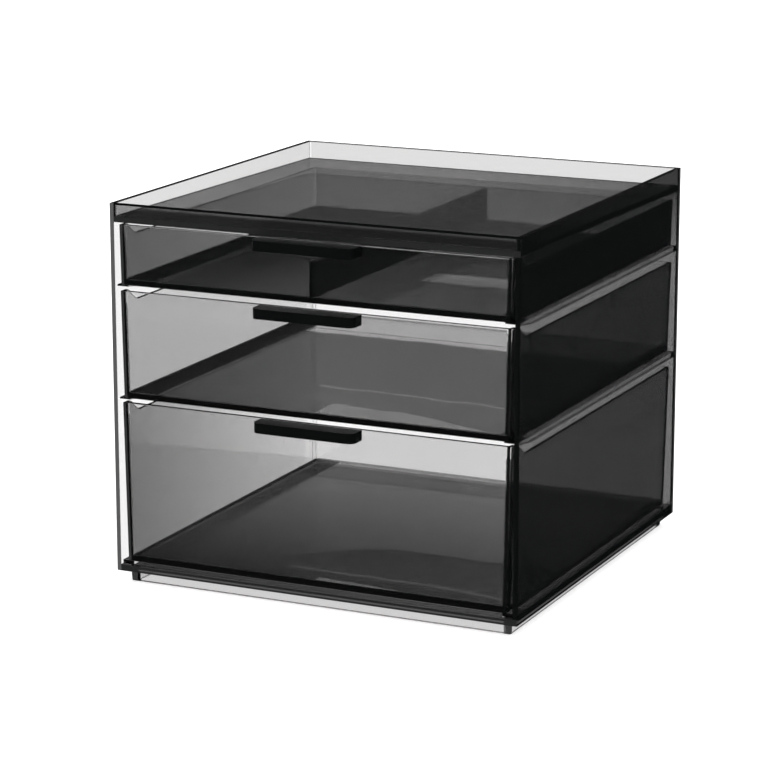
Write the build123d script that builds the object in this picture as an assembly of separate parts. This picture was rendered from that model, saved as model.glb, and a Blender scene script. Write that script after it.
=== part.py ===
"""Three-drawer cosmetic organizer, moulded in clear smoke-grey plastic, with black bar pulls.

Sizes are in millimetres. +Z is up and the drawers open towards -Y. The origin is on the
surface that the organizer stands on, at the middle of its whole footprint, pulls included.
"""
from build123d import *
from math import radians, tan
import os

# Case: side walls, back, floor and roof in one moulding, open at the front
case_width = 178.0
case_depth = 178.0
side_wall = 2.0
back_wall = 2.1
floor_thickness = 2.7
roof_thickness = 2.4
case_corner_radius = 0.5
bay_corner_radius = 1.0

# Rim round the roof, which makes a shallow tray that also takes the foot of another unit
rim_wall = 2.0
roof_fall = 2.2

# Foot: a skirt under the floor. It drops inside the rim of a unit below with this much room
foot_height = 5.0
foot_wall = 3.0
foot_draft_angle = 3.0
foot_corner_radius = 1.0
stacking_clearance_side = 2.0
stacking_clearance_below = 0.2

# Rails that carry the two upper drawers, and runners on the floor for the lowest one
rail_width = 5.0
rail_thickness = 2.4
rail_tip = 0.6
rail_lead_in = 12.0
rail_setback = 2.0
runner_height = 1.5
slide_clearance = 0.15

# Drawers: one-piece trays whose side and back walls are lower than the front. They slide in
# until their backs meet the back of the case
bottom_front_height = 66.8
middle_front_height = 44.2
top_front_height = 24.6
gap_over_bottom = 1.95
gap_over_middle = 2.5
gap_over_top = 1.0
front_inset = 1.0
side_clearance = 1.7
back_clearance = 0.3
front_wall = 2.1
drawer_wall = 1.5
drawer_floor = 2.0
divider_wall = 1.9
divider_drop = 3.2
drawer_draft_angle = 1.0
side_drop = 5.1
full_height_run = 4.4
side_slope_run = 7.4
drawer_corner_radius = 0.6
drawer_bottom_radius = 0.4
well_corner_radius = 1.0
well_bottom_radius = 0.6

# Pulls: solid bars bonded to the drawer fronts, flush with their top edges
pull_length = 44.5
pull_height = 4.1
pull_proud = 8.0
pull_corner_radius = 3.0
pull_edge_radius = 0.4

# Cutting solids run past the faces that they open by this much
cut_margin = 5.0

# Places along Y, and widths
overall_depth = case_depth - front_inset + pull_proud
case_back = overall_depth / 2
case_front = case_back - case_depth
bay_back = case_back - back_wall
drawer_front = case_front + front_inset
drawer_back = bay_back - back_clearance
bay_width = case_width - 2 * side_wall
drawer_width = bay_width - 2 * side_clearance
foot_inset = rim_wall + stacking_clearance_side

# Heights
case_bottom = foot_height
floor_top = case_bottom + floor_thickness
bottom_drawer_z = floor_top + runner_height + slide_clearance
middle_drawer_z = bottom_drawer_z + bottom_front_height + gap_over_bottom
top_drawer_z = middle_drawer_z + middle_front_height + gap_over_middle
roof_underside = top_drawer_z + top_front_height + gap_over_top
roof_top = roof_underside + roof_thickness
rim_top = roof_top + foot_height + stacking_clearance_below
draft = tan(radians(drawer_draft_angle))


def side_prism(points, width, x_middle=0.0):
    """A profile of (y, z) points, extruded along X to both sides of x_middle."""
    face = make_face(Polyline(*[(0, y, z) for y, z in points], close=True))
    return Pos(x_middle, 0, 0) * extrude(face, amount=width / 2, dir=(1, 0, 0), both=True)


def roof_line(y, height_at_front):
    """Height of a roof surface at y. The roof falls steadily towards the back."""
    return height_at_front - roof_fall * (y - case_front) / case_depth


def rounded_block(width, front, back, low, high, radius):
    """An upright block with rounded vertical edges, from front to back along Y."""
    outline = RectangleRounded(width, back - front, radius)
    return extrude(Pos(0, (front + back) / 2, low) * outline, amount=high - low)


def drafted_block(low_size, high_size, low, high, radius):
    """A block between two rounded outlines. Each size is (width, front y, back y)."""
    outlines = []
    for (width, front, back), z in ((low_size, low), (high_size, high)):
        outlines.append(Pos(0, (front + back) / 2, z) * RectangleRounded(width, back - front, radius))
    return loft(outlines, ruled=True)


def rail(drawer_z, thickness, tip):
    """The right-hand rail under a drawer, with its underside wedged up towards its front end."""
    top = drawer_z - slide_clearance
    front = case_front + rail_setback
    back = bay_back + back_wall / 2
    profile = [
        (front, top),
        (back, top),
        (back, top - thickness),
        (front + rail_lead_in, top - thickness),
        (front, top - tip),
    ]
    into_side = side_wall / 2
    x_middle = bay_width / 2 + into_side / 2 - rail_width / 2
    return side_prism(profile, rail_width + into_side, x_middle)


def both_sides(solid):
    """A solid on the right-hand side and its mirror image on the left."""
    return solid + mirror(solid, Plane.YZ)


def foot_skirt():
    """The hollow skirt under the floor."""
    width = case_width - 2 * foot_inset
    depth = case_depth - 2 * foot_inset
    taper_in = foot_height * tan(radians(foot_draft_angle))
    front = case_front + foot_inset
    back = front + depth
    into_floor = floor_thickness / 2
    outside = drafted_block(
        (width - 2 * taper_in, front + taper_in, back - taper_in),
        (width, front, back),
        0,
        foot_height,
        foot_corner_radius,
    )
    outside += rounded_block(width, front, back, foot_height, foot_height + into_floor, foot_corner_radius)
    inset = taper_in + foot_wall
    inside = rounded_block(
        width - 2 * inset, front + inset, back - inset, -cut_margin, foot_height, foot_corner_radius
    )
    return outside - inside


def case_shell():
    """The case with its bay for the drawers, the tray in its roof, its rails and its foot."""
    shell = rounded_block(case_width, case_front, case_back, case_bottom, rim_top, case_corner_radius)
    mouth = case_front - cut_margin
    bay = side_prism(
        [
            (mouth, floor_top),
            (bay_back, floor_top),
            (bay_back, roof_line(bay_back, roof_underside)),
            (mouth, roof_line(mouth, roof_underside)),
        ],
        bay_width,
    )
    back_corners = bay.edges().filter_by(Axis.Z).group_by(Axis.Y)[-1]
    shell -= fillet(back_corners, bay_corner_radius)
    tray_front = case_front + rim_wall
    tray_back = case_back - rim_wall
    tray = side_prism(
        [
            (tray_front, roof_line(tray_front, roof_top)),
            (tray_back, roof_line(tray_back, roof_top)),
            (tray_back, rim_top + cut_margin),
            (tray_front, rim_top + cut_margin),
        ],
        case_width - 2 * rim_wall,
    )
    shell -= fillet(tray.edges().filter_by(Axis.Z), bay_corner_radius)
    shell += both_sides(rail(top_drawer_z, rail_thickness, rail_tip))
    shell += both_sides(rail(middle_drawer_z, rail_thickness, rail_tip))
    into_floor = runner_height + floor_thickness / 2
    shell += both_sides(rail(bottom_drawer_z, into_floor, into_floor))
    return shell + foot_skirt()


def drawer_tray(bottom_z, front_height, divided=False):
    """A drawer: drafted walls, a full-height front, and lower side and back walls."""
    top_z = bottom_z + front_height
    taper_in = draft * front_height

    def size(inset_side, inset_front, inset_back, above_bottom):
        shrink = taper_in - draft * above_bottom
        width = drawer_width - 2 * (shrink + inset_side)
        return width, drawer_front + inset_front, drawer_back - shrink - inset_back

    block = drafted_block(
        size(0, 0, 0, 0), size(0, 0, 0, front_height), bottom_z, top_z, drawer_corner_radius
    )
    block = fillet(block.edges().group_by(Axis.Z)[0], drawer_bottom_radius)
    well = drafted_block(
        size(drawer_wall, front_wall, drawer_wall, drawer_floor),
        size(drawer_wall, front_wall, drawer_wall, front_height + cut_margin),
        bottom_z + drawer_floor,
        top_z + cut_margin,
        well_corner_radius,
    )
    well = fillet(well.edges().group_by(Axis.Z)[0], well_bottom_radius)
    tray = block - well
    side_top = top_z - side_drop
    if divided:
        low = bottom_z + drawer_floor / 2
        front = drawer_front + front_wall / 2
        back = drawer_back - taper_in - drawer_wall / 2
        high = side_top - divider_drop
        tray += Pos(0, (front + back) / 2, (low + high) / 2) * Box(divider_wall, back - front, high - low)
    lowered = side_prism(
        [
            (drawer_front + full_height_run, top_z),
            (drawer_front + full_height_run + side_slope_run, side_top),
            (drawer_back + cut_margin, side_top),
            (drawer_back + cut_margin, top_z + cut_margin),
            (drawer_front + full_height_run, top_z + cut_margin),
        ],
        drawer_width + 2 * cut_margin,
    )
    return tray - lowered


def pull(bottom_z, front_height):
    """A bar across the middle of a drawer front, with its top level with the front's top."""
    middle_y = drawer_front - pull_proud / 2
    middle_z = bottom_z + front_height - pull_height / 2
    bar = Pos(0, middle_y, middle_z) * Box(pull_length, pull_proud, pull_height)
    bar = fillet(bar.edges().filter_by(Axis.Z).group_by(Axis.Y)[0], pull_corner_radius)
    return fillet(bar.faces().sort_by(Axis.Z)[0].edges().group_by(Axis.Y)[0], pull_edge_radius)


parts = {
    "case_shell": case_shell(),
    "bottom_drawer_tray": drawer_tray(bottom_drawer_z, bottom_front_height),
    "middle_drawer_tray": drawer_tray(middle_drawer_z, middle_front_height),
    "top_drawer_tray": drawer_tray(top_drawer_z, top_front_height, divided=True),
    "bottom_drawer_pull": pull(bottom_drawer_z, bottom_front_height),
    "middle_drawer_pull": pull(middle_drawer_z, middle_front_height),
    "top_drawer_pull": pull(top_drawer_z, top_front_height),
}

os.makedirs("parts", exist_ok=True)
for name, shape in parts.items():
    export_step(shape, f"parts/{name}.step")

print("overall", case_width, overall_depth, rim_top)
print("drawer heights", bottom_drawer_z, middle_drawer_z, top_drawer_z, roof_underside)
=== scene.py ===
"""Looks for a three-drawer cosmetic organizer in smoke-grey plastic with black bar pulls.

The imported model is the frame. Each moulding is made here again as one closed mesh with rounded
edges, in metres, rides on its body and stands for its plain solid.

How dark each face looks, and the marks on the drawers' floors, are painted to fit one photograph.
They stand in for the reflections of its room, which isn't modelled.
"""

import math

import bmesh
import bpy
from bpy.props import FloatProperty, FloatVectorProperty, IntProperty, PointerProperty
from bpy.types import Operator, Panel, PropertyGroup
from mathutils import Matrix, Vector


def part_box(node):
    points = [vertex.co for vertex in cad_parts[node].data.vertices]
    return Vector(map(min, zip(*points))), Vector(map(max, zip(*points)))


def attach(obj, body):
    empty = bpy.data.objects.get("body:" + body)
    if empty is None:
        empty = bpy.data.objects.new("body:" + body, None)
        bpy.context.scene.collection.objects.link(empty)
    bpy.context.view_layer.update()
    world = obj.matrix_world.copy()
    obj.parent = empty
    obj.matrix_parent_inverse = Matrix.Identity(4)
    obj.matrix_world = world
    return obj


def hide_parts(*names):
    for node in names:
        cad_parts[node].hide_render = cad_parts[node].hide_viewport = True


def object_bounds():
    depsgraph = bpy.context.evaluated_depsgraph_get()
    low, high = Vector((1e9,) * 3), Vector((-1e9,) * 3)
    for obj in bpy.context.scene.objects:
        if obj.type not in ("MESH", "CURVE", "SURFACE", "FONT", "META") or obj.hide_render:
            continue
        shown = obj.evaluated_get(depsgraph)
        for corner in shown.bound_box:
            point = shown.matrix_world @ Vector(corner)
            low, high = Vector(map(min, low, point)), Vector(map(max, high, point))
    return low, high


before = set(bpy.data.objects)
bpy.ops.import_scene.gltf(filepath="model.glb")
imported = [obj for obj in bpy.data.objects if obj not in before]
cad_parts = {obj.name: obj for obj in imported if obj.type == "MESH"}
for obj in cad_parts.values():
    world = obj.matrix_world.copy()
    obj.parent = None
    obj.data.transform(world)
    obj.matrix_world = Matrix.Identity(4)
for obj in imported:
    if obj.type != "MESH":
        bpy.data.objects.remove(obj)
CAD_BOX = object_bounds()

bl_info = {
    "name": "Drawer organizer",
    "version": (1, 0, 0),
    "blender": (4, 5, 0),
    "location": "3D View > Sidebar > Organizer",
    "description": "Builds the dressed mouldings of a three-drawer organizer and its studio",
    "category": "Object",
}

MM = 0.001
DRAWERS = ("bottom", "middle", "top")
WHITE = (1.0, 1.0, 1.0, 1.0)

# Mesh density
CORNER_STEPS = 7
SLOPE_STEPS = 14
CASE_CORNER_STEPS = 8
BAY_CORNER_STEPS = 6
EDGE_STEPS = 3
MERGE_DISTANCE = 0.001 * MM
SHARP_ANGLE = math.radians(35)
FLAT_ANGLE = math.radians(0.2)
CUT_MARGIN = 5 * MM

# Part of a normal along an axis from which a face counts as square to it, level or rounded
SQUARE = 0.9
LEVEL = 0.7
ROUNDED = 0.1

# Share of the half width from which a face belongs to a side
OUTER_SIDE = 0.97
NEAR_SIDE = 0.9
INNER_SIDE = 0.85
BACK_SIDE = 0.8

# How glancing a view is where the dark layer starts to close and where it has closed
SIDE_GLANCE = (0.33, 0.56)
LEVEL_GLANCE = (0.45, 0.75)

# Skins that count as the edge or the face they lie on
FRONT_EDGE = 0.2 * MM
FRONT_FACE = 0.3 * MM
RIM_TOP = 0.3 * MM
RIM_MARGIN = 0.1 * MM

# How often light is followed through and off the plastic, off gloss and off matt surfaces
CLEAR_BOUNCES = 32
GLOSS_BOUNCES = 8
SOFT_BOUNCES = 4

# Zones of the case, from its front or from its floor
ROOF_AHEAD = (17 * MM, 22 * MM)
BASE_AHEAD = 9 * MM
RIM_AHEAD = 3 * MM
LOW_SIDE = (3 * MM, 4.5 * MM)

# Zones of the trays, from the front, the back or the floor
NEAR_FRONT = 5 * MM
SIDE_AHEAD = 4.5 * MM
NEAR_BACK = 4 * MM
FOOT_HEIGHT = 1 * MM

# Marks painted on the tray floors in place of reflections: waviness, places along x and depths
WAVE_DEPTH = 6 * MM
LEFT_SPAN = (-50 * MM, -10 * MM)
SHADE_SPAN = (-45 * MM, 15 * MM)
SHADE_DEPTH = 21 * MM
SHADE_GROWTH = 36 * MM
SHADE_EDGE = 1.5 * MM
LIGHT_EDGE = 4 * MM
BOW_HALF = 76 * MM
LINE_BOW = 6 * MM
LINE_EDGE = (0.6 * MM, 1.8 * MM)
LINE_LEFT = -18 * MM
ZONE_BOW = 16 * MM
ZONE_EDGE = 0.5 * MM
MARGIN_SHIFT = 9 * MM
MARGIN_EDGE = (17 * MM, 14 * MM)


def length(label, millimetres, text):
    """A size in metres for a property group, given here in millimetres."""
    return FloatProperty(
        name=label, description=text, default=millimetres * MM, min=0.0, precision=5, unit="LENGTH"
    )


def angle(label, degrees, text):
    """An angle for a property group, given here in degrees."""
    return FloatProperty(name=label, description=text, default=math.radians(degrees), subtype="ANGLE")


def number(label, default, text):
    """A plain number for a property group."""
    return FloatProperty(name=label, description=text, default=default, precision=4)


def colour(label, red, green, blue, text):
    """A linear colour for a property group."""
    return FloatVectorProperty(
        name=label, description=text, default=(red, green, blue), subtype="COLOR", size=3, min=0.0, max=1.0
    )


def triple(label, values, text):
    """One number for each drawer, the bottom one first."""
    return FloatVectorProperty(name=label, description=text, default=values, size=3)


class CaseSizes(PropertyGroup):
    """Sizes of the case moulding. Its outside comes from the frame."""

    side_wall: length("Side wall", 2.0, "Thickness of the two sides")
    back_wall: length("Back wall", 2.1, "Thickness of the back")
    floor_thickness: length("Floor", 2.7, "Thickness of the floor")
    roof_thickness: length("Roof", 2.4, "Thickness of the roof")
    rim_wall: length("Rim wall", 2.0, "Thickness of the rim round the roof")
    roof_fall: length("Roof fall", 2.2, "How much lower the roof lies at the back than at the front")
    corner_radius: length("Corner radius", 0.5, "Radius of the four upright corners")
    bay_corner_radius: length("Bay corner radius", 1.0, "Radius inside the bay and the roof tray")
    foot_height: length("Foot height", 5.0, "Height of the skirt under the floor")
    foot_wall: length("Foot wall", 3.0, "Thickness of the skirt")
    foot_inset: length("Foot inset", 4.0, "From the side of the case to the skirt")
    foot_corner_radius: length("Foot corner radius", 1.0, "Radius of the skirt's corners")
    foot_draft: angle("Foot draft", 3.0, "Taper of the outside of the skirt")
    stacking_clearance: length("Stacking clearance", 0.2, "Room under the foot of a unit on top")
    rail_width: length("Rail width", 5.0, "How far a rail stands in from the side")
    rail_thickness: length("Rail thickness", 2.4, "Thickness of a rail behind its lead-in")
    rail_tip: length("Rail tip", 0.6, "Thickness of a rail at its front end")
    rail_lead_in: length("Rail lead-in", 12.0, "Length of the wedge at the front of a rail")
    rail_setback: length("Rail setback", 2.0, "From the front of the case to a rail")
    runner_height: length("Runner height", 1.5, "Height of the two runners on the floor")
    slide_clearance: length("Slide clearance", 0.15, "Room between a drawer and its rails")
    edge_radius: length("Edge radius", 0.15, "Rounding of the edges of the moulding")


class TraySizes(PropertyGroup):
    """Sizes that the three drawer trays share. Their outsides come from the frame."""

    wall: length("Wall", 1.5, "Thickness of the side and back walls")
    front_wall: length("Front wall", 2.1, "Thickness of the front")
    floor: length("Floor", 2.0, "Thickness of the floor")
    draft: angle("Draft", 1.0, "Taper of the side and back walls")
    side_drop: length("Side drop", 5.1, "How far the side and back walls lie below the front's top")
    full_run: length("Full run", 4.4, "How far the full height runs back from the front")
    slope_run: length("Slope run", 7.4, "Length of the slope down to the lower walls")
    corner_radius: length("Corner radius", 0.6, "Radius of the upright corners outside")
    well_radius: length("Well radius", 1.0, "Radius of the upright corners inside")
    bottom_radius: length("Bottom radius", 0.4, "Rounding under the tray")
    well_bottom_radius: length("Well bottom radius", 0.6, "Rounding round the floor inside")
    rim_radius: length("Rim radius", 0.2, "Rounding along the top of the walls")
    slope_margin: length("Slope margin", 1.0, "How far the fine steps run past the foot of the slope")
    divider: length("Divider", 1.9, "Thickness of the wall that divides the top drawer")
    divider_drop: length("Divider drop", 3.2, "How far the divider lies below the side walls")


class PullSizes(PropertyGroup):
    """Sizes of the three pulls. Their outsides come from the frame."""

    corner_radius: length("Corner radius", 3.0, "Radius of the two front corners, seen from above")
    back_radius: length("Back radius", 0.05, "Radius of the two corners at the drawer")
    edge_radius: length("Edge radius", 0.35, "Rounding along the edges")
    corner_steps: IntProperty(name="Corner steps", description="Facets in a corner", default=10, min=2)


class Finish(PropertyGroup):
    """Colours and surface of the two plastics, and how far a dark layer closes each face.

    How closed the faces are is fitted to one photograph and stands in for the reflections of its
    room. With all of it at nought, plain clear plastic is left, apart from the rim's front top edge.
    """

    smoke_tint: colour("Smoke tint", 0.42, 0.40, 0.405, "Colour that is left after the light's way")
    case_density: number("Case density", 125.0, "How quickly the case's plastic takes up light, per metre")
    tray_density: number("Tray density", 60.0, "How quickly the trays' plastic takes up light, per metre")
    refraction: number("Refraction", 1.5, "Index of refraction of the clear plastic")
    case_side: number("Case side", 0.74, "How closed the case's outer sides are at a glancing angle")
    band_side: number("Band side", 0.94, "How closed they are at a glancing angle beside the roof")
    foot_side: number("Foot side", 0.86, "How closed they are at a glancing angle beside the floor")
    rim_side: number("Rim side", 0.9, "How closed they are above the roof, at the back")
    rim_ahead: number("Rim ahead", 1.0, "How closed they are above the roof, at the front")
    rim_top: number("Rim top", 0.75, "How closed the top edge of the rim is")
    roof_back: number("Roof back", 0.62, "How closed the roof is at a glancing angle, at the back")
    roof_front: number("Roof front", 0.6, "How closed the roof is at a glancing angle, at the front")
    roof_ahead: number("Roof ahead", 0.93, "How closed it is just behind the front of the rim")
    roof_right: number("Roof right", 0.13, "How much more closed it is at its back right corner")
    base_back: number("Base back", 0.45, "How closed the case's floor is at a glancing angle")
    base_front: number("Base front", 0.96, "How closed it is along its front")
    rim_front: number("Rim front", 0.55, "How closed the front of the rim is")
    rim_inside: number("Rim inside", 0.18, "How closed the inner sides of the rim are")
    rim_back: number("Rim back", 0.28, "How closed the inside of the rim is at the back")
    skirt_front: number("Skirt front", 0.36, "How closed the front of the skirt is")
    skirt_side: number("Skirt side", 0.25, "How closed the sides of the skirt are")
    front_edges: number("Front edges", 0.9, "How closed the front edges of the walls are")
    corners: number("Corners", 0.6, "How closed the rounded corners of the trays are")
    divider_side: number("Divider side", 0.92, "How closed the divider is at a glancing angle")
    # Painted edge light: a grey painted on edges as a highlight, and the shares of it on each kind of edge
    edge_grey: colour("Edge grey", 0.085, 0.085, 0.086, "Colour of the brightest front edges")
    level_edges: number("Level edges", 0.18, "Share of that colour in the front edges of roof and floor")
    foot_ends: number("Foot ends", 0.5, "Share of that colour in the ends of the foot's sides")
    back_ends: number("Back ends", 0.55, "Share of that colour in the ends of the back wall")
    tray_edges: number("Tray edges", 0.35, "Share of that colour in the front edges of the trays")
    tray_corners: number("Tray corners", 0.2, "Share of that colour in the front corners of the trays")
    tray_sides: triple("Tray sides", (0.63, 0.83, 0.97), "How closed the sides are, bottom drawer first")
    side_ahead: number("Side ahead", 0.97, "How closed the sides are at their front ends")
    tray_insides: triple("Tray insides", (0.75, 0.25, 0.5), "How closed the sides are inside, at the front")
    floor_fronts: triple("Floor fronts", (0.99, 0.77, 0.64), "How closed the floors are at the front")
    floor_backs: triple("Floor backs", (0.45, 0.77, 0.9), "How closed the floors are at the back")
    floor_lefts: triple("Floor lefts", (0.0, 0.0, 0.13), "How much more closed they are left of the middle")
    floor_shades: triple("Floor shades", (0.93, 0.0, 0.0), "How closed their painted darker front parts are")
    floor_margins: triple("Floor margins", (0.84, 0.98, 0.97), "How closed they are along the side walls")
    light_share: number("Light share", 0.68, "How much the painted light strips open the floors")
    light_starts: triple("Light starts", (0.0, 134 * MM, 48 * MM), "Start of that strip behind the front")
    light_ends: triple("Light ends", (0.0, 200 * MM, 65 * MM), "End of that strip behind the front")
    light_left: triple("Light left", (0.0, -100 * MM, 25 * MM), "Left end of that strip, in x")
    glint_lines: triple("Glint lines", (17 * MM, 46 * MM, 0.0), "From the front to a painted bright line")
    glint_zones: triple("Glint zones", (7 * MM, 20 * MM, 0.0), "Depth of a painted bright zone")
    line_shares: triple("Line shares", (0.12, 0.14, 0.0), "How much the bright line opens the floors")
    zone_shares: triple("Zone shares", (0.3, 0.17, 0.0), "How much the bright zone opens them")
    tray_fronts: triple("Tray fronts", (0.23, 0.2, 0.7), "How closed the fronts are")
    tray_backs: triple("Tray backs", (0.0, 0.0, 0.4), "How closed the backs are")
    dark_colour: colour("Dark colour", 0.003, 0.0034, 0.0034, "Colour of the dark layer")
    dark_roughness: number("Dark roughness", 0.03, "Roughness of the dark layer")
    dark_spread: number("Dark spread", 0.04, "How much rougher that layer is on the waves")
    ripple: length("Ripple", 0.015, "Height of the faint waves left by the mould")
    wave_scale: number("Wave scale", 55.0, "Scale of these waves")
    pull_black: colour("Pull black", 0.002, 0.0025, 0.0025, "Colour of the pulls")
    pull_wear: number("Pull wear", 1.5, "How much lighter the pulls are where they are worn")
    wear_scale: number("Wear scale", 90.0, "Scale of the wear")
    pull_gloss: number("Pull gloss", 0.05, "Specular level of the pulls")
    pull_roughness: number("Pull roughness", 0.42, "Roughness of the pulls")
    pull_spread: number("Pull spread", 0.08, "How much their roughness varies")
    pull_grain: length("Pull grain", 0.02, "Height of the fine satin grain of the pulls")
    grain_scale: number("Grain scale", 2600.0, "Scale of the grain")
    grain_strength: number("Grain strength", 0.5, "Strength of the grain")


class Studio(PropertyGroup):
    """The pale floor, the light round the object and the camera.

    Mirrored rays see a darker floor and room than the camera does, and the floor is brighter seen
    through the plastic.
    """

    floor_size: length("Floor size", 12000.0, "Width of the square floor")
    floor_drop: length("Floor drop", 0.2, "How far the floor lies under the foot")
    floor_lift: number("Floor lift", 0.55, "Light that the floor gives off by itself")
    floor_behind: number("Floor behind", 1.3, "Brightness of the floor seen through the plastic")
    sky: number("Sky", 1.15, "Strength of the soft light all round")
    reflected_sky: number("Reflected sky", 0.08, "Brightness of the room in outer reflections")
    inner_sky: number("Inner sky", 0.6, "Brightness of the room in reflections behind the plastic")
    reflected_floor: number("Reflected floor", 0.02, "Brightness of the table in outer reflections")
    reflected_front: number("Reflected front", 0.08, "Brightness in reflections of the table in front")
    softbox: number("Softbox", 2.0, "Brightness of the light overhead in reflections")
    softbox_start: number("Softbox start", 0.72, "Sine of the height at which that light starts")
    softbox_full: number("Softbox full", 0.85, "Sine of the height from which it is whole")
    floor_white: colour("Floor white", 0.9, 0.9, 0.9, "Colour of the floor")
    floor_roughness: number("Floor roughness", 0.9, "Roughness of the floor")
    azimuth: angle("Azimuth", 25.02, "Where the camera stands, round from the front")
    elevation: angle("Elevation", 13.64, "How far the camera looks down")
    distance: length("Distance", 1264.0, "From the camera to its target")
    picture_width: number("Picture width", 780.0, "Width in pixels of the square picture")
    focal_pixels: number("Focal length", 3002.0, "Focal length in the same pixels")
    target: FloatVectorProperty(
        name="Target", description="Point that the camera looks at", default=(-0.0067, 0.0035, 0.070),
        subtype="TRANSLATION", unit="LENGTH",
    )


class Socket:
    """An output socket of a node tree, on which Python's operators add Math nodes."""

    def __init__(self, graph, output):
        self.graph = graph
        self.output = output

    def math(self, operation, *values):
        return self.graph.math(operation, self, *values)

    def __add__(self, other):
        return self.math("ADD", other)

    def __sub__(self, other):
        return self.math("SUBTRACT", other)

    def __mul__(self, other):
        return self.math("MULTIPLY", other)

    def __truediv__(self, other):
        return self.math("DIVIDE", other)

    def __gt__(self, other):
        return self.math("GREATER_THAN", other)

    def __lt__(self, other):
        return self.math("LESS_THAN", other)

    def __rsub__(self, other):
        return self.graph.math("SUBTRACT", other, self)

    __radd__ = __add__
    __rmul__ = __mul__


class Graph:
    """A node tree of any kind, filled by calls and by expressions on sockets."""

    def __init__(self, tree):
        self.tree = tree

    def feed(self, socket, value):
        """Link or set one input socket."""
        if isinstance(value, Socket):
            self.tree.links.new(value.output, socket)
        else:
            socket.default_value = value

    def fill(self, node, inputs):
        """Link or set several inputs, by name or number."""
        for key, value in inputs.items():
            self.feed(node.inputs[key], value)

    def node(self, kind, settings=None, inputs=None, output=0):
        """Add a node: its settings first, then its inputs by name or number."""
        made = self.tree.nodes.new(kind)
        for name, value in (settings or {}).items():
            setattr(made, name, value)
        self.fill(made, inputs or {})
        return Socket(self, made.outputs[output])

    def math(self, operation, *values):
        return self.node("ShaderNodeMath", {"operation": operation}, dict(enumerate(values)))

    def switch(self, kind, index, choices):
        """One of several values, by number."""
        made = self.tree.nodes.new("GeometryNodeIndexSwitch")
        made.data_type = kind
        while len(made.index_switch_items) < len(choices):
            made.index_switch_items.new()
        self.feed(made.inputs["Index"], index)
        for place, choice in enumerate(choices, start=1):
            self.feed(made.inputs[place], choice)
        return Socket(self, made.outputs[0])

    def vector(self, x, y, z):
        return self.node("ShaderNodeCombineXYZ", None, {0: x, 1: y, 2: z})

    def parts(self, vector):
        """The three parts of a vector."""
        made = self.tree.nodes.new("ShaderNodeSeparateXYZ")
        self.feed(made.inputs[0], vector)
        return [Socket(self, output) for output in made.outputs]

    def noise(self, place, scale, detail):
        return self.node("ShaderNodeTexNoise", None, {"Vector": place, "Scale": scale, "Detail": detail})

    def blend(self, share, first, second):
        """A colour between two, by a share."""
        inputs = {0: share, 6: (*first, 1.0), 7: (*second, 1.0)}
        return self.node("ShaderNodeMix", {"data_type": "RGBA"}, inputs, 2)

    def mix(self, share, first, second):
        """A shader between two, by a share."""
        return self.node("ShaderNodeMixShader", None, {0: share, 1: first, 2: second})

    def ramp(self, value, start, end, low=0.0, high=1.0):
        """A soft rise from the low value at the start to the high one at the end."""
        inputs = {"Value": value, "From Min": start, "From Max": end, "To Min": low, "To Max": high}
        return self.node("ShaderNodeMapRange", {"interpolation_type": "SMOOTHSTEP"}, inputs)

    def light_path(self):
        """Ones on rays that came through plastic, and on rays that were mirrored."""
        path = self.tree.nodes.new("ShaderNodeLightPath")
        depths = [path.outputs[name] for name in ("Transmission Depth", "Glossy Depth")]
        return [Socket(self, depth) > 0.5 for depth in depths]


def clamp01(value):
    """A socket's value held between 0 and 1."""
    return value.math("MAXIMUM", 0.0).math("MINIMUM", 1.0)


def between(first, second, share):
    """The value that lies a share of the way from the first to the second."""
    return first + share * (second - first)


def strongest(values):
    """The largest of several sockets."""
    result = values[0]
    for value in values[1:]:
        result = result.math("MAXIMUM", value)
    return result


# Shapes of the trays

TRAY_PLACES = ("Half width", "Front", "Back", "Bottom", "Height", "Taper")
TRAY_LENGTHS = (
    "Wall", "Front wall", "Floor", "Side drop", "Full run", "Slope run", "Corner radius", "Well radius",
    "Bottom radius", "Well bottom radius", "Rim radius", "Slope margin", "Divider", "Divider drop",
)
TRAY_INPUTS = TRAY_PLACES + TRAY_LENGTHS


def tray_profile(graph, size):
    """Section through a wall as a curve: X is the inset from the outside and Y the height."""
    far = size["Half width"] + size["Back"] - size["Front"]
    height = size["Height"]
    wall = size["Wall"]
    floor = size["Floor"]
    points = [(far, 0.0), (0.0, 0.0), (0.0, height), (wall, height), (wall, floor), (far, floor)]
    radii = [0.0, size["Bottom radius"], size["Rim radius"], size["Rim radius"],
             size["Well bottom radius"], 0.0]
    index = graph.node("GeometryNodeInputIndex")
    line = graph.node("GeometryNodeMeshLine", None, {"Count": len(points)})
    corners = graph.switch("VECTOR", index, [graph.vector(x, y, 0.0) for x, y in points])
    placed = graph.node("GeometryNodeSetPosition", None, {"Geometry": line, "Position": corners})
    curve = graph.node("GeometryNodeMeshToCurve", None, {"Mesh": placed})
    rounding = {"Curve": curve, "Radius": graph.switch("FLOAT", index, radii), "Count": CORNER_STEPS}
    return graph.node("GeometryNodeFilletCurve", {"mode": "POLY"}, rounding)


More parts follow.
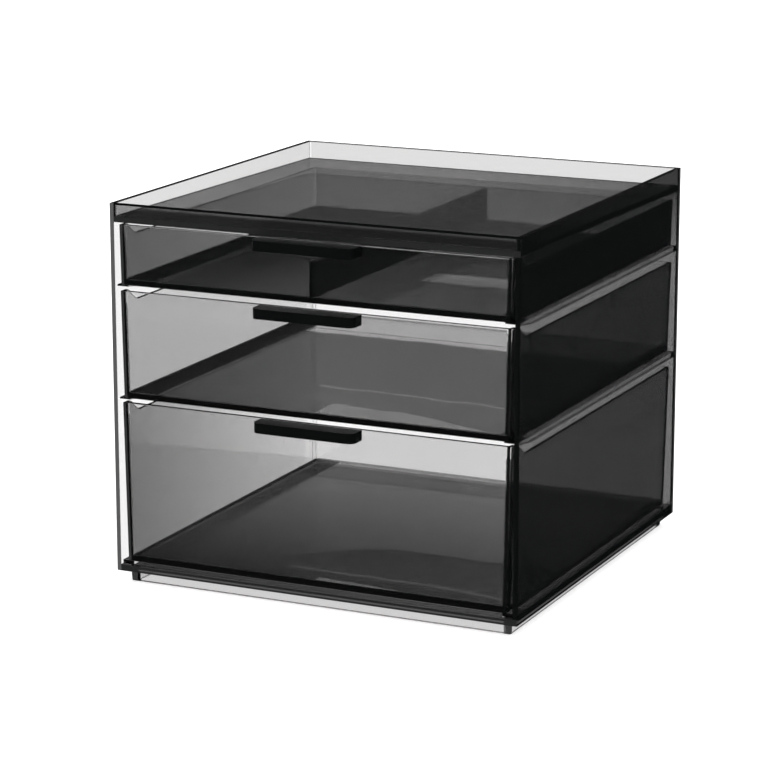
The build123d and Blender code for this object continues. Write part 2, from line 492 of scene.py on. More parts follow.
def tray_half(graph, size):
    """The right-hand half of a tray: the wall's section carried round half of its outline."""
    arc_end = 1 + CORNER_STEPS
    back_start = arc_end + SLOPE_STEPS + 1
    last = back_start + CORNER_STEPS + 1
    around = last + 1
    sections = 2 + 4 * (CORNER_STEPS + 1)
    index = graph.node("GeometryNodeInputIndex")
    ring = (index / around + 0.5 / around).math("FLOOR")
    step = index - ring * around
    position = graph.node("GeometryNodeInputPosition")
    sampled = graph.node(
        "GeometryNodeSampleIndex",
        {"data_type": "FLOAT_VECTOR", "domain": "POINT"},
        {"Geometry": tray_profile(graph, size), "Value": position, "Index": ring},
    )
    inset, level = graph.parts(sampled)[:2]
    high = level > size["Height"] * 0.5
    inner = inset > size["Wall"] * 0.5

    # Where the walls are lowered, all the points above half height come down together
    run = (step - arc_end).math("MAXIMUM", 0.0)
    behind = step > (back_start - 0.5)
    sloped = size["Full run"] + size["Slope run"] + size["Slope margin"]
    spacing = (sloped - size["Corner radius"]) / SLOPE_STEPS
    side_y = size["Front"] + size["Corner radius"] + run * spacing
    reference = between(side_y, size["Back"], behind)
    slope = clamp01((reference - size["Front"] - size["Full run"]) / size["Slope run"])
    level = level - high * slope * size["Side drop"]

    # Outline of this ring
    shrink = size["Taper"] * (size["Height"] - level)
    middle = (size["Front"] + size["Back"]) * 0.5
    half = (size["Half width"] - shrink - inset).math("MAXIMUM", 0.0)
    front = size["Front"] + inset + inner * (size["Front wall"] - size["Wall"])
    front = front.math("MINIMUM", middle)
    back = (size["Back"] - shrink - inset).math("MAXIMUM", middle)
    share = clamp01(inset / size["Wall"])
    top_radius = between(size["Corner radius"], size["Well radius"], share)
    inner_radius = size["Well radius"] + size["Wall"]
    low_radius = between(size["Corner radius"], inner_radius, inner) - inset
    radius = between(low_radius, top_radius, high)
    radius = radius.math("MAXIMUM", 0.0).math("MINIMUM", half)

    # Place of this point on the outline
    turn = clamp01((step - 1.0) / CORNER_STEPS) + clamp01((step - back_start) / CORNER_STEPS) - 1.0
    theta = turn * (math.pi / 2)
    front_y = front + radius
    back_y = back - radius
    along = side_y.math("MAXIMUM", front_y).math("MINIMUM", back_y)
    along = between(along, back_y, behind)
    beside = (step > 0.5) * (step < last - 0.5)
    x = beside * (half - radius + radius * theta.math("COSINE"))
    y = along + radius * theta.math("SINE")
    grid = graph.node("GeometryNodeMeshGrid", None, {"Vertices X": sections, "Vertices Y": around})
    place = graph.vector(x, y, size["Bottom"] + level)
    return graph.node("GeometryNodeSetPosition", None, {"Geometry": grid, "Position": place})


def divider_bar(graph, size):
    """The upright wall between the two compartments, with its lower edge sunk in the floor."""
    low = size["Floor"] * 0.5
    high = size["Height"] - size["Side drop"] - size["Divider drop"]
    outline = graph.node(
        "GeometryNodeCurvePrimitiveQuadrilateral", None, {"Width": size["Divider"], "Height": high - low}
    )
    rounding = {"Curve": outline, "Radius": size["Rim radius"], "Count": EDGE_STEPS}
    outline = graph.node("GeometryNodeFilletCurve", {"mode": "POLY"}, rounding)
    front = size["Front"] + size["Front wall"] * 0.5
    back = size["Back"] - size["Taper"] * size["Height"] - size["Wall"] * 0.5
    path = graph.node("GeometryNodeCurvePrimitiveLine", None, {"End": graph.vector(0.0, 0.0, back - front)})
    bar = graph.node(
        "GeometryNodeCurveToMesh", None, {"Curve": path, "Profile Curve": outline, "Fill Caps": True}
    )
    place = graph.vector(0.0, back, size["Bottom"] + (low + high) * 0.5)
    turn = (math.pi / 2, 0.0, 0.0)
    inputs = {"Geometry": bar, "Translation": place, "Rotation": turn}
    return graph.node("GeometryNodeTransform", None, inputs)


def tray_tree(divided):
    """The node tree of a tray. Its inputs are the sizes and the material."""
    tree = bpy.data.node_groups.new("divided tray" if divided else "plain tray", "GeometryNodeTree")
    for name in TRAY_INPUTS:
        tree.interface.new_socket(name, in_out="INPUT", socket_type="NodeSocketFloat")
    tree.interface.new_socket("Material", in_out="INPUT", socket_type="NodeSocketMaterial")
    tree.interface.new_socket("Geometry", in_out="OUTPUT", socket_type="NodeSocketGeometry")
    graph = Graph(tree)
    entry = tree.nodes.new("NodeGroupInput")
    size = {name: Socket(graph, entry.outputs[name]) for name in TRAY_INPUTS}
    half = tray_half(graph, size)
    mirrored = graph.node("GeometryNodeTransform", None, {"Geometry": half, "Scale": (-1.0, 1.0, 1.0)})
    half = graph.node("GeometryNodeFlipFaces", None, {"Mesh": half})
    joined = tree.nodes.new("GeometryNodeJoinGeometry")
    tree.links.new(mirrored.output, joined.inputs[0])
    tree.links.new(half.output, joined.inputs[0])
    merge = {"Geometry": Socket(graph, joined.outputs[0]), "Distance": MERGE_DISTANCE}
    shell = graph.node("GeometryNodeMergeByDistance", None, merge)
    if divided:
        union = tree.nodes.new("GeometryNodeMeshBoolean")
        union.operation = "UNION"
        tree.links.new(divider_bar(graph, size).output, union.inputs["Mesh 2"])
        tree.links.new(shell.output, union.inputs["Mesh 2"])
        shell = Socket(graph, union.outputs["Mesh"])
    shell = graph.node("GeometryNodeRealizeInstances", None, {"Geometry": shell})
    shell = graph.node("GeometryNodeSetShadeSmooth", None, {"Geometry": shell})
    material = Socket(graph, entry.outputs["Material"])
    shell = graph.node("GeometryNodeSetMaterial", None, {"Geometry": shell, "Material": material})
    leave = tree.nodes.new("NodeGroupOutput")
    tree.links.new(shell.output, leave.inputs[0])
    return tree


# Making and finishing meshes

def new_object(name, mesh):
    """An object at the origin for a mesh whose points are already in place."""
    made = bpy.data.objects.new(name, mesh)
    bpy.context.scene.collection.objects.link(made)
    return made


def settle(obj):
    """Turn what the modifiers of an object give into its own plain mesh."""
    graph = bpy.context.evaluated_depsgraph_get()
    mesh = bpy.data.meshes.new_from_object(obj.evaluated_get(graph), depsgraph=graph)
    mesh.name = obj.name
    obj.modifiers.clear()
    obj.data = mesh
    return obj


def even_normals(obj):
    """Keep the large faces optically flat and let the roundings take up the turn."""
    obj.data.shade_smooth()
    obj.data.set_sharp_from_angle(angle=SHARP_ANGLE)
    modifier = obj.modifiers.new("flat faces", "WEIGHTED_NORMAL")
    modifier.weight = 100
    modifier.keep_sharp = True
    return settle(obj)


def check_closed(obj):
    """Stop if a moulding is open or inside out."""
    shape = bmesh.new()
    shape.from_mesh(obj.data)
    open_edges = [edge for edge in shape.edges if len(edge.link_faces) != 2]
    volume = shape.calc_volume(signed=True)
    shape.free()
    if open_edges or volume <= 0:
        raise RuntimeError(f"{obj.name}: {len(open_edges)} open edges, volume {volume}")


def rounded_outline(half_width, front, back, front_radius, back_radius, steps):
    """Points round a rectangle with rounded corners, anticlockwise seen from above."""
    corners = (
        (half_width - front_radius, front + front_radius, front_radius, -90),
        (half_width - back_radius, back - back_radius, back_radius, 0),
        (back_radius - half_width, back - back_radius, back_radius, 90),
        (front_radius - half_width, front + front_radius, front_radius, 180),
    )
    points = []
    for x, y, radius, start in corners:
        for step in range(steps + 1):
            turn = math.radians(start + 90 * step / steps)
            points.append((x + radius * math.cos(turn), y + radius * math.sin(turn)))
    return points


def loft(name, rings):
    """A closed solid through rings of as many points each, with flat ends."""
    shape = bmesh.new()
    loops = [[shape.verts.new(point) for point in ring] for ring in rings]
    count = len(loops[0])
    for low, high in zip(loops, loops[1:]):
        for index in range(count):
            after = (index + 1) % count
            shape.faces.new((low[index], low[after], high[after], high[index]))
    shape.faces.new(reversed(loops[0]))
    shape.faces.new(loops[-1])
    bmesh.ops.recalc_face_normals(shape, faces=shape.faces)
    mesh = bpy.data.meshes.new(name)
    shape.to_mesh(mesh)
    shape.free()
    return new_object(name, mesh)


def upright(name, outline, low, high):
    """A solid over an outline. Its ends lie at a height, or at a function of y."""
    def level(height, y):
        return height(y) if callable(height) else height

    rings = [[(x, y, level(height, y)) for x, y in outline] for height in (low, high)]
    return loft(name, rings)


def combine(base, other, operation):
    """Add or cut one solid with another, which goes away."""
    modifier = base.modifiers.new("combine", "BOOLEAN")
    modifier.operation = operation
    modifier.solver = "EXACT"
    modifier.object = other
    settle(base)
    bpy.data.objects.remove(other)
    return base


def round_edges(obj, radius):
    """Round the sharp edges and join the flat faces that lie in one plane."""
    shape = bmesh.new()
    shape.from_mesh(obj.data)
    bmesh.ops.remove_doubles(shape, verts=shape.verts, dist=MERGE_DISTANCE)
    bmesh.ops.dissolve_limit(
        shape, angle_limit=FLAT_ANGLE, use_dissolve_boundaries=False, verts=shape.verts, edges=shape.edges
    )
    shape.to_mesh(obj.data)
    shape.free()
    bevel = obj.modifiers.new("rounding", "BEVEL")
    bevel.width = radius
    bevel.segments = EDGE_STEPS
    bevel.limit_method = "ANGLE"
    bevel.angle_limit = SHARP_ANGLE
    bevel.miter_outer = "MITER_ARC"
    bevel.use_clamp_overlap = True
    return settle(obj)


def paint(piece, material):
    """Give a piece one material in place of all that its parts brought along."""
    piece.data.materials.clear()
    piece.data.materials.append(material)


def fit(piece, node, body):
    """Check a finished piece, hang it on its body and let it stand for its CAD node."""
    check_closed(piece)
    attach(piece, body)
    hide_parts(node)


# Materials

def new_material(name):
    """A material with its node graph, its main shader and its output node."""
    material = bpy.data.materials.new(name)
    material.use_nodes = True
    nodes = material.node_tree.nodes
    return material, Graph(material.node_tree), nodes["Principled BSDF"], nodes["Material Output"]


class Surface:
    """Where a ray meets a moulding: the place, the normal and how glancing it is."""

    def __init__(self, graph, wave_scale):
        self.ramp = graph.ramp
        place = graph.node("ShaderNodeTexCoord", None, None, "Object")
        normal = graph.node("ShaderNodeTexCoord", None, None, "Normal")
        self.x, self.y, self.z = graph.parts(place)
        self.normal_x, self.normal_y, self.normal_z = graph.parts(normal)
        self.facing = graph.node("ShaderNodeLayerWeight", None, {"Blend": 0.5}, "Facing")
        self.outside = 1.0 - graph.node("ShaderNodeNewGeometry", None, None, "Backfacing")
        self.across = self.x.math("ABSOLUTE")
        self.waves = graph.noise(place, wave_scale, detail=1.0)
        self.outward = self.normal_x * self.x

    def side(self, most):
        """A closing that grows as the view gets more glancing."""
        return self.ramp(self.facing, *SIDE_GLANCE, high=most)

    def level(self, most):
        """A closing on level faces that look up."""
        return (self.normal_z > LEVEL) * self.ramp(self.facing, *LEVEL_GLANCE, high=most)

    def forward(self):
        """One on the faces that look forward."""
        return self.normal_y < -SQUARE

    def front(self, plane):
        """One on the faces that look forward in the plane of the front."""
        return self.forward() * (self.y < plane + FRONT_FACE)

    def side_edge(self, plane, inner_half):
        """One on the front edges of the side walls, with their roundings."""
        return (self.y < plane + FRONT_EDGE) * (self.across > inner_half)

    def lit(self, half):
        """The light painted on a side's front edge: one at the left, none at the right."""
        return clamp01(0.5 - self.x / (2 * half))


def smoke_plastic(name, density, closings, painted_edge_light):
    """Clear smoke-grey plastic that takes up light along its way, under a dark layer without gloss.

    The layer is painted shade that stands in for the reflections of a dark room. The closings say how far
    it hides the clear plastic, and the painted edge light is where it is grey: a painted highlight on edges
    that catch the light.
    """
    finish = bpy.context.scene.organizer_finish
    material, graph, glass, output = new_material(name)
    surface = Surface(graph, finish.wave_scale)
    waves = {"Height": surface.waves, "Distance": finish.ripple, "Strength": 1.0}
    bump = graph.node("ShaderNodeBump", None, waves)
    graph.fill(glass, {
        "Base Color": WHITE,
        "Roughness": 0.0,
        "IOR": finish.refraction,
        "Transmission Weight": 1.0,
        "Normal": bump,
    })
    dark = graph.node("ShaderNodeBsdfPrincipled", None, {
        # Base colour: the dark layer's near-black, turning to a painted grey highlight on the edges
        "Base Color": graph.blend(painted_edge_light(surface), finish.dark_colour, finish.edge_grey),
        "Roughness": surface.waves * finish.dark_spread + finish.dark_roughness,
        "Specular IOR Level": 0.0,
        "Normal": bump,
    })
    tint = {"Color": (*finish.smoke_tint, 1.0), "Density": density}
    graph.fill(output, {
        "Surface": graph.mix(closings(surface), Socket(graph, glass.outputs[0]), dark),
        "Volume": graph.node("ShaderNodeVolumeAbsorption", None, tint),
    })
    return material


def black_plastic(name):
    """Black satin plastic of the pulls, with a fine even grain."""
    finish = bpy.context.scene.organizer_finish
    material, graph, plastic = new_material(name)[:3]
    place = graph.node("ShaderNodeTexCoord", None, None, "Object")
    wear = graph.noise(place, finish.wear_scale, detail=3.0)
    worn = [finish.pull_wear * part for part in finish.pull_black]
    grain = {
        "Height": graph.noise(place, finish.grain_scale, detail=2.0),
        "Distance": finish.pull_grain,
        "Strength": finish.grain_strength,
    }
    graph.fill(plastic, {
        "Base Color": graph.blend(wear, finish.pull_black, worn),
        "Roughness": (wear - 0.5) * finish.pull_spread + finish.pull_roughness,
        "IOR": finish.refraction,
        "Specular IOR Level": finish.pull_gloss,
        "Normal": graph.node("ShaderNodeBump", None, grain),
    })
    return material


# Operators

class ORGANIZER_OT_case(Operator):
    """Make the case: sides, back, floor and roof with its rim, rails and foot, in one moulding"""

    bl_idname = "organizer.case"
    bl_label = "Case"

    def measure(self, size):
        """Take the planes and the insets of the case from its box in the frame."""
        low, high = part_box("case_shell")
        self.half, self.front, self.back = high[0], low[1], high[1]
        self.ground, self.top = low[2], high[2]
        self.bottom = self.ground + size.foot_height
        self.floor_top = self.bottom + size.floor_thickness
        self.roof_top = self.top - size.foot_height - size.stacking_clearance
        self.roof_low = self.roof_top - size.roof_thickness
        self.foot_taper = size.foot_height * math.tan(size.foot_draft)
        self.foot_inside = size.foot_inset + self.foot_taper + size.foot_wall

    def rail(self, size, side, drawer_low, thickness, tip):
        """A rail on one side, with its underside wedged up towards its front end."""
        top = drawer_low - size.slide_clearance
        start = self.front + size.rail_setback
        end = self.back - size.back_wall * 0.5
        profile = [
            (start, top),
            (end, top),
            (end, top - thickness),
            (start + size.rail_lead_in, top - thickness),
            (start, top - tip),
        ]
        if tip == thickness:
            profile.pop(3)
        inner = self.half - size.side_wall - size.rail_width
        outer = self.half - size.side_wall * 0.5
        return loft("rail", [[(side * x, y, z) for y, z in profile] for x in (inner, outer)])

    def roof(self, size, height_at_front):
        """Height of a roof surface as a function of y."""
        return lambda y: height_at_front - size.roof_fall * (y - self.front) / (self.back - self.front)

    def outline(self, inset, radius, steps):
        """Outline of the case seen from above, moved in by the same room on all sides."""
        return rounded_outline(
            self.half - inset, self.front + inset, self.back - inset, radius, radius, steps
        )

    def shape(self, size):
        """The whole moulding as one solid with rounded edges."""
        outline = self.outline(0.0, size.corner_radius, CASE_CORNER_STEPS)
        case = upright("organizer_case", outline, self.bottom, self.top)

        radius = size.bay_corner_radius
        bay_half, bay_back = self.half - size.side_wall, self.back - size.back_wall
        mouth = self.front - CUT_MARGIN
        outline = rounded_outline(bay_half, mouth, bay_back, radius, radius, BAY_CORNER_STEPS)
        bay = upright("bay", outline, self.floor_top, self.roof(size, self.roof_low))
        combine(case, bay, "DIFFERENCE")

        outline = self.outline(size.rim_wall, radius, BAY_CORNER_STEPS)
        tray = upright("tray", outline, self.roof(size, self.roof_top), self.top + CUT_MARGIN)
        combine(case, tray, "DIFFERENCE")

        for drawer in DRAWERS:
            drawer_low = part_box(f"{drawer}_drawer_tray")[0][2]
            thickness, tip = size.rail_thickness, size.rail_tip
            if drawer == "bottom":
                thickness = tip = size.runner_height + size.floor_thickness * 0.5
            for side in (-1, 1):
                combine(case, self.rail(size, side, drawer_low, thickness, tip), "UNION")

        insets = (size.foot_inset, size.foot_inset + self.foot_taper, self.foot_inside)
        wide, narrow, hollow = (
            self.outline(inset, size.foot_corner_radius, CASE_CORNER_STEPS) for inset in insets
        )
        into_floor = self.bottom + size.floor_thickness * 0.5
        rings = [(narrow, self.ground), (wide, self.bottom), (wide, into_floor)]
        foot = loft("foot", [[(x, y, z) for x, y in ring] for ring, z in rings])
        combine(case, foot, "UNION")
        combine(case, upright("hollow", hollow, self.ground - CUT_MARGIN, self.bottom), "DIFFERENCE")
        return round_edges(case, size.edge_radius)

    def plastic(self, size, finish):
        """The plastic of the case, with how closed and how grey each of its faces is."""
        half, front, back = self.half, self.front, self.back
        bottom, floor_top = self.bottom, self.floor_top
        roof_top, roof_low = self.roof_top, self.roof_low
        roof_lowest = roof_low - size.roof_fall
        top_drawer_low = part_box("top_drawer_tray")[0][2]

        def level_edge(surface):
            """The front edges of the roof and of the floor."""
            roof_edge = (surface.z > roof_low) * (surface.z < roof_top)
            floor_edge = (surface.z > bottom) * (surface.z < floor_top)
            return (surface.y < front + FRONT_EDGE) * (roof_edge + floor_edge)

        def upright_edge(surface):
            """The front edges of the sides."""
            return surface.side_edge(front, half - size.side_wall) * (surface.z > bottom)

        def rim_edge(surface):
            """How closed the top edge of the rim is, most of all at the front."""
            near_front = surface.y < front + size.rim_wall + RIM_MARGIN
            most = between(finish.rim_top, 1.0, near_front)
            return (surface.z > self.top - RIM_TOP - near_front * RIM_TOP) * most

        def foot_end(surface):
            """The front ends of the foot's side walls, with their corners."""
            corner_end = front + size.foot_inset + self.foot_taper + size.foot_corner_radius
            beside = surface.across > half - self.foot_inside
            return (surface.y < corner_end) * beside * (surface.z < bottom)

        def back_end(surface):
            """The ends of the back wall, seen from the side."""
            outer = (surface.outward > BACK_SIDE * half) * (surface.y > back - size.back_wall)
            return outer * (surface.z > bottom)

        def side(surface, share, over_roof):
            """How closed the outer sides are: beside the floor, the drawers and the roof, and above."""
            height = clamp01((surface.z - top_drawer_low) / (roof_lowest - top_drawer_low))
            low_down = 1.0 - surface.ramp(surface.z, *(floor_top + rise for rise in LOW_SIDE))
            most = between(finish.case_side, finish.band_side, height)
            most = most + low_down * (finish.foot_side - finish.case_side)
            rim = between(finish.rim_ahead, finish.rim_side, share)
            most = most + over_roof * (rim - finish.band_side)
            return (surface.outward > OUTER_SIDE * half) * surface.side(most)

        def roof_and_floor(surface, share, above):
            """How closed the tops of the roof and of the floor are."""
            roof = between(finish.roof_front, finish.roof_back, share)
            roof = roof + share * clamp01(surface.x / half) * finish.roof_right
            ahead = 1.0 - surface.ramp(surface.y, *(front + depth for depth in ROOF_AHEAD))
            roof = between(roof, finish.roof_ahead, ahead)
            near_front = surface.y < front + BASE_AHEAD
            base = between(finish.base_back, finish.base_front, near_front)
            return strongest([above * surface.level(roof), (1.0 - above) * surface.level(base)])

        def closings(surface):
            above = surface.z > roof_lowest
            over_roof = surface.z > roof_top - size.roof_fall
            share = clamp01((surface.y - front) / (back - front))
            rim_inside = strongest([
                (surface.outward < -NEAR_SIDE * half) * finish.rim_inside,
                surface.forward() * (surface.y > front + RIM_AHEAD) * finish.rim_back,
            ])
            skirt = strongest([
                surface.forward() * finish.skirt_front,
                (surface.outward > NEAR_SIDE * half) * finish.skirt_side,
            ])
            ends = [level_edge(surface), upright_edge(surface), foot_end(surface), back_end(surface)]
            return surface.outside * strongest([
                side(surface, share, over_roof),
                roof_and_floor(surface, share, above),
                over_roof * rim_inside,
                above * surface.front(front) * finish.rim_front,
                (surface.z < bottom) * skirt,
                strongest(ends) * finish.front_edges,
                rim_edge(surface),
            ])

        # Painted edge light: a grey painted highlight on the front edges and wall ends, lighter on the left
        # side's edge
        def painted_edge_light(surface):
            return strongest([
                upright_edge(surface) * surface.lit(half),
                level_edge(surface) * finish.level_edges,
                foot_end(surface) * finish.foot_ends,
                back_end(surface) * finish.back_ends,
            ])

        return smoke_plastic("smoke plastic case", finish.case_density, closings, painted_edge_light)

    def execute(self, context):
        size = context.scene.organizer_case
        self.measure(size)
        case = self.shape(size)
        paint(case, self.plastic(size, context.scene.organizer_finish))
        even_normals(case)
        fit(case, "case_shell", "case")
        return {"FINISHED"}


class ORGANIZER_OT_trays(Operator):
    """Make the three drawer trays from one rule, the top one with a dividing wall"""

    bl_idname = "organizer.trays"
    bl_label = "Drawer trays"

    def plastic(self, size, finish, drawer, low, high):
        """The plastic of one tray, with how closed and how grey each of its faces is."""
        order = DRAWERS.index(drawer)
        front, back, half = low[1], high[1], high[0]

        def front_edge(surface):
            half_here = half - (high[2] - surface.z) * math.tan(size.draft)
            return surface.side_edge(front, half_here - size.wall)

        def foot(surface):
            """The roundings along the foot of the walls."""
            level = (surface.normal_x + surface.normal_y).math("ABSOLUTE") * surface.normal_z
            return (level.math("ABSOLUTE") > ROUNDED) * (surface.z < low[2] + size.floor + FOOT_HEIGHT)

        def rounding(surface):
            """The roundings of the front corners and along the foot of the walls."""
            upright = (surface.normal_x * surface.normal_y).math("ABSOLUTE") > ROUNDED
            corner = upright * (surface.y < front + NEAR_FRONT) * (surface.z < high[2] - size.side_drop)
            return strongest([corner, foot(surface)])

        def floor(surface):
            """How closed the floor is, with painted marks in place of the room's reflections."""
            behind = surface.y - front
            wavy = behind + (surface.waves - 0.5) * WAVE_DEPTH
            share = clamp01(behind / (back - front))
            level = between(finish.floor_fronts[order], finish.floor_backs[order], share)
            level = level + (1.0 - surface.ramp(surface.x, *LEFT_SPAN)) * finish.floor_lefts[order]
            shade_end = surface.ramp(surface.x, *SHADE_SPAN) * SHADE_GROWTH + SHADE_DEPTH
            shade = 1.0 - surface.ramp(wavy - shade_end, -SHADE_EDGE, SHADE_EDGE)
            level = strongest([level, shade * finish.floor_shades[order]])

            start, end = finish.light_starts[order], finish.light_ends[order]
            light = surface.ramp(wavy, start, start + LIGHT_EDGE)
            light = light * (1.0 - surface.ramp(wavy, end, end + LIGHT_EDGE))
            light = light * (surface.x > finish.light_left[order])
            level = level * (1.0 - light * finish.light_share)

            bow = surface.x * surface.x / BOW_HALF ** 2
            off_line = (wavy + bow * LINE_BOW - finish.glint_lines[order]).math("ABSOLUTE")
            line = (1.0 - surface.ramp(off_line, *LINE_EDGE)) * (surface.x > LINE_LEFT)
            past_zone = wavy + bow * ZONE_BOW - finish.glint_zones[order]
            zone = (1.0 - surface.ramp(past_zone, -ZONE_EDGE, ZONE_EDGE)) * (surface.x > 0.0)
            level = level - strongest([line * finish.line_shares[order], zone * finish.zone_shares[order]])

            inset = surface.across - (surface.x > 0.0) * MARGIN_SHIFT
            margin = surface.ramp(inset, *(half - width for width in MARGIN_EDGE))
            return strongest([level, margin * finish.floor_margins[order]])

        def closings(surface):
            ahead = surface.y < front + SIDE_AHEAD
            most = between(finish.tray_sides[order], finish.side_ahead, ahead)
            ahead_share = 1.0 - clamp01((surface.y - front) / (back - front))
            inside = (surface.outward < -INNER_SIDE * half) * ahead_share
            divider = (surface.across < size.divider) * (surface.normal_x.math("ABSOLUTE") > SQUARE)
            at_back = surface.forward() * (surface.y > back - NEAR_BACK)
            faces = strongest([
                (surface.outward > NEAR_SIDE * half) * surface.side(most),
                inside * surface.side(finish.tray_insides[order]),
                divider * surface.side(finish.divider_side),
                surface.level(floor(surface)),
                at_back * finish.tray_backs[order],
                surface.front(front) * finish.tray_fronts[order],
                front_edge(surface) * finish.front_edges,
            ])
            front_foot = foot(surface) * (surface.y < front + NEAR_FRONT) * finish.floor_fronts[order]
            return strongest([faces * surface.outside, rounding(surface) * finish.corners, front_foot])

        # Painted edge light: a grey painted highlight on the front edges and corners, lighter at the left
        def painted_edge_light(surface):
            edge = front_edge(surface) * finish.tray_edges
            return strongest([edge, rounding(surface) * finish.tray_corners]) * surface.lit(half)

        name = f"smoke plastic {drawer} tray"
        return smoke_plastic(name, finish.tray_density, closings, painted_edge_light)

    def execute(self, context):
        size = context.scene.organizer_tray
        finish = context.scene.organizer_finish
        for drawer in DRAWERS:
            node = f"{drawer}_drawer_tray"
            low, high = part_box(node)
            material = self.plastic(size, finish, drawer, low, high)
            places = (high[0], low[1], high[1], low[2], high[2] - low[2], math.tan(size.draft))
            values = dict(zip(TRAY_PLACES, places), Material=material)
            for name in TRAY_LENGTHS:
                values[name] = getattr(size, name.lower().replace(" ", "_"))
            tray = new_object(f"organizer_{drawer}_tray", bpy.data.meshes.new(node))
            modifier = tray.modifiers.new("tray", "NODES")
            modifier.node_group = tray_tree(drawer == "top")
            for item in modifier.node_group.interface.items_tree:
                if item.in_out == "INPUT":
                    modifier[item.identifier] = values[item.name]
            settle(tray)
            even_normals(tray)
            fit(tray, node, f"{drawer}_drawer")
        return {"FINISHED"}


class ORGANIZER_OT_pulls(Operator):
    """Make the three bar pulls, with rounded front corners and fine edges"""

    bl_idname = "organizer.pulls"
    bl_label = "Pulls"

    def execute(self, context):
        size = context.scene.organizer_pull
        material = black_plastic("black satin plastic")
        for drawer in DRAWERS:
            node = f"{drawer}_drawer_pull"
            low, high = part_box(node)
            half = (high[0] - low[0]) * 0.5
            outline = rounded_outline(
                half, low[1], high[1], size.corner_radius, size.back_radius, size.corner_steps
            )
            pull = upright(f"organizer_{drawer}_pull", outline, low[2], high[2])
            round_edges(pull, size.edge_radius)
            paint(pull, material)
            even_normals(pull)
            fit(pull, node, f"{drawer}_drawer")
        return {"FINISHED"}


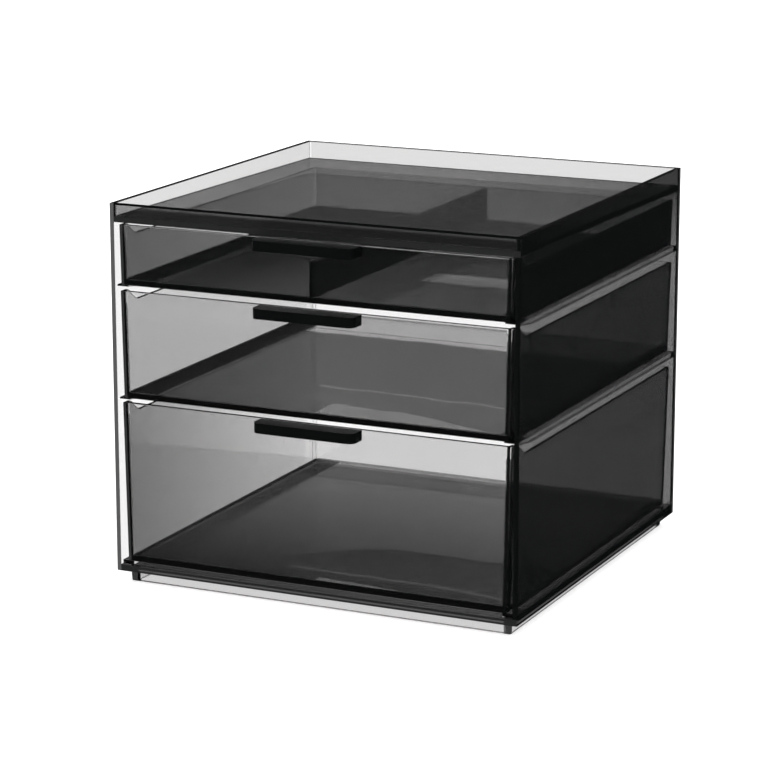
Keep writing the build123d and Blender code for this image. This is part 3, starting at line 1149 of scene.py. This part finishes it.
class ORGANIZER_OT_studio(Operator):
    """Make the pale floor, the soft light and the camera"""

    bl_idname = "organizer.studio"
    bl_label = "Studio"

    def floor(self, studio):
        """A pale floor, which reflections off the outside see as a dark table."""
        half = studio.floor_size * 0.5
        mesh = bpy.data.meshes.new("floor")
        signs = ((-1, -1), (1, -1), (1, 1), (-1, 1))
        corners = [(x * half, y * half, -studio.floor_drop) for x, y in signs]
        mesh.from_pydata(corners, [], [(0, 1, 2, 3)])
        floor = new_object("floor", mesh)
        material, graph, surface, output = new_material("pale floor")
        graph.fill(surface, {
            "Base Color": (*studio.floor_white, 1.0),
            "Roughness": studio.floor_roughness,
            "Specular IOR Level": 0.0,
            "Emission Color": WHITE,
            "Emission Strength": studio.floor_lift,
        })
        through, mirrored = graph.light_path()
        behind, table, ahead = (
            graph.node("ShaderNodeEmission", None, {"Strength": strength})
            for strength in (studio.floor_behind, studio.reflected_floor, studio.reflected_front)
        )
        x, y = graph.parts(graph.node("ShaderNodeTexCoord", None, None, "Object"))[:2]
        in_front = y < CAD_BOX[0][1]
        dimmed = mirrored * strongest([1.0 - through, x > CAD_BOX[1][0], in_front])
        seen = graph.mix(through, Socket(graph, surface.outputs[0]), behind)
        reflected = graph.mix(in_front, table, ahead)
        graph.feed(output.inputs["Surface"], graph.mix(dimmed, seen, reflected))
        mesh.materials.append(material)

    def light(self, studio):
        """Even light all round, with a dimmer room and a softbox overhead in reflections."""
        world = bpy.data.worlds.new("studio")
        world.use_nodes = True
        bpy.context.scene.world = world
        graph = Graph(world.node_tree)
        background = world.node_tree.nodes["Background"]
        through, mirrored = graph.light_path()
        height = graph.parts(graph.node("ShaderNodeTexCoord", None, None, "Generated"))[2]
        room = graph.ramp(
            height, studio.softbox_start, studio.softbox_full, studio.reflected_sky, studio.softbox
        )
        room = between(room, studio.inner_sky, through)
        graph.fill(background, {"Color": WHITE, "Strength": between(studio.sky, room, mirrored)})

    def camera(self, studio):
        """The camera at the photograph's viewing angle."""
        data = bpy.data.cameras.new("camera")
        data.sensor_width = 36.0
        data.lens = data.sensor_width * studio.focal_pixels / studio.picture_width
        camera = new_object("camera", data)
        turn, rise = studio.azimuth, studio.elevation
        level = math.cos(rise)
        away = Vector((math.sin(turn) * level, -math.cos(turn) * level, math.sin(rise)))
        camera.location = Vector(studio.target) + away * studio.distance
        camera.rotation_mode = "QUATERNION"
        camera.rotation_quaternion = (-away).to_track_quat("-Z", "Y")
        bpy.context.scene.camera = camera

    def execute(self, context):
        scene = context.scene
        studio = scene.organizer_studio
        self.floor(studio)
        self.light(studio)
        self.camera(studio)
        scene.view_settings.view_transform = "Standard"
        scene.view_settings.look = "None"
        scene.cycles.max_bounces = CLEAR_BOUNCES
        scene.cycles.transmission_bounces = CLEAR_BOUNCES
        scene.cycles.transparent_max_bounces = CLEAR_BOUNCES
        scene.cycles.glossy_bounces = GLOSS_BOUNCES
        scene.cycles.diffuse_bounces = SOFT_BOUNCES
        scene.cycles.caustics_refractive = True
        scene.cycles.caustics_reflective = True
        scene.cycles.blur_glossy = 0.0
        return {"FINISHED"}


class ORGANIZER_PT_panel(Panel):
    """Sizes, finishes and the steps that build the organizer"""

    bl_label = "Drawer organizer"
    bl_space_type = "VIEW_3D"
    bl_region_type = "UI"
    bl_category = "Organizer"

    def draw(self, context):
        for operator in OPERATORS:
            self.layout.operator(operator.bl_idname)
        for name, group in SETTINGS.items():
            settings = getattr(context.scene, name)
            box = self.layout.box()
            for prop in group.__annotations__:
                box.prop(settings, prop)


OPERATORS = (ORGANIZER_OT_case, ORGANIZER_OT_trays, ORGANIZER_OT_pulls, ORGANIZER_OT_studio)
SETTINGS = {
    "organizer_case": CaseSizes,
    "organizer_tray": TraySizes,
    "organizer_pull": PullSizes,
    "organizer_finish": Finish,
    "organizer_studio": Studio,
}


def register():
    for group in (*SETTINGS.values(), *OPERATORS, ORGANIZER_PT_panel):
        bpy.utils.register_class(group)
    for name, group in SETTINGS.items():
        setattr(bpy.types.Scene, name, PointerProperty(type=group))


def unregister():
    for name in SETTINGS:
        delattr(bpy.types.Scene, name)
    for group in (ORGANIZER_PT_panel, *reversed(OPERATORS), *reversed(SETTINGS.values())):
        bpy.utils.unregister_class(group)


def main():
    register()
    bpy.ops.organizer.case()
    bpy.ops.organizer.trays()
    bpy.ops.organizer.pulls()
    bpy.ops.organizer.studio()


if __name__ == "__main__":
    main()
